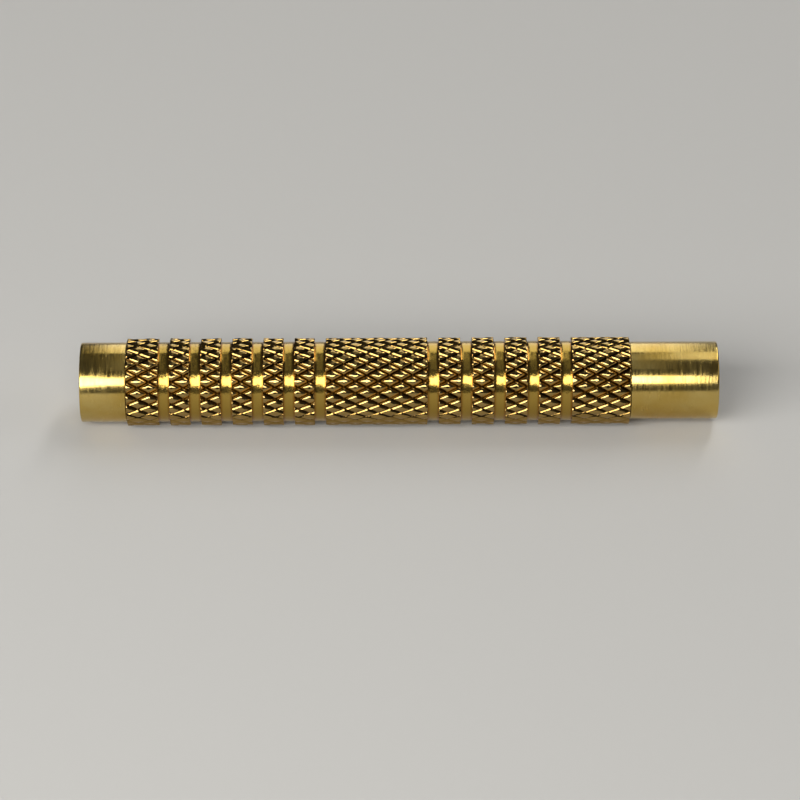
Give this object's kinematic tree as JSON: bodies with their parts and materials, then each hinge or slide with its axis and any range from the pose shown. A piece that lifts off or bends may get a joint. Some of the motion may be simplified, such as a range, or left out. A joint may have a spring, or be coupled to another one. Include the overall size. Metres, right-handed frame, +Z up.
{
  "type": "direct-vision hand spectroscope",
  "caption": "Slim brass direct-vision spectroscope: knurled grip with turned grooves, turning slit ring, and a sliding draw tube that holds collimator and prisms.",
  "frame": {"origin": "on the optical axis at mid-length, with the draw tube pushed home", "axes": "+X along the optical axis from the slit end to the eye end, +Z up, the slit lines up with Z"},
  "size_m": [0.0944, 0.013, 0.013],
  "materials": {
    "knurled_brass": "turned and diamond-knurled brass, dark patina in the valleys",
    "turned_brass": "lathe-turned bare brass with fine circumferential tool marks",
    "drawn_brass": "drawn brass tube, satin",
    "blackened_brass": "brass blackened to stop stray light",
    "spring_bronze": "rolled phosphor bronze spring strip",
    "turned_steel": "turned bright steel",
    "crown_glass": "polished crown glass",
    "flint_glass": "polished flint glass",
    "sheet_cork": "sliced sheet cork"
  },
  "bodies": {
    "body": {"grip_sleeve": "knurled_brass", "body_tube": "drawn_brass", "end_bush": "turned_brass", "guide_pin": "turned_steel", "slit_hub": "blackened_brass", "ring_clip": "turned_steel", "jaw_keeper": "turned_brass", "keeper_screws": "turned_steel"},
    "slit_ring": {"slit_ring": "turned_brass", "slit_window": "crown_glass", "window_ring": "turned_brass"},
    "jaw_left": {"jaw_left": "blackened_brass", "jaw_pin_left": "turned_steel"},
    "jaw_right": {"jaw_right": "blackened_brass", "jaw_pin_right": "turned_steel"},
    "draw": {"draw_tube": "drawn_brass", "friction_ring": "spring_bronze", "lens_cell": "blackened_brass", "crown_lens": "crown_glass", "flint_lens": "flint_glass", "lens_ring": "blackened_brass", "spacer_tube": "blackened_brass", "prism_holder": "blackened_brass", "entry_crown_prism": "crown_glass", "first_flint_prism": "flint_glass", "middle_crown_prism": "crown_glass", "second_flint_prism": "flint_glass", "exit_crown_prism": "crown_glass", "prism_pad": "sheet_cork", "prism_spring": "spring_bronze", "holder_ring": "blackened_brass", "eyepiece_barrel": "turned_brass", "eye_stop": "blackened_brass", "eye_window": "crown_glass", "eye_ring": "turned_brass"}
  },
  "joints": [
    {"name": "slit_turn", "type": "hinge", "parent": "body", "child": "slit_ring", "pos_m": [-0.04725, 0, 0], "axis": [1, 0, 0], "range_deg": [-21, 100]},
    {"name": "jaw_left_slide", "type": "slide", "parent": "body", "child": "jaw_left", "axis": [0, -1, 0], "range_m": [-0.00009, 0.00042]},
    {"name": "jaw_right_slide", "type": "slide", "parent": "body", "child": "jaw_right", "axis": [0, 1, 0], "range_m": [-0.00009, 0.00042]},
    {"name": "focus_draw", "type": "slide", "parent": "body", "child": "draw", "axis": [1, 0, 0], "range_m": [0, 0.008]}
  ],
  "couplings": [
    {"joint": "jaw_left_slide", "follows": "slit_turn", "m_per_rad": 0.00024},
    {"joint": "jaw_right_slide", "follows": "slit_turn", "m_per_rad": 0.00024}
  ]
}
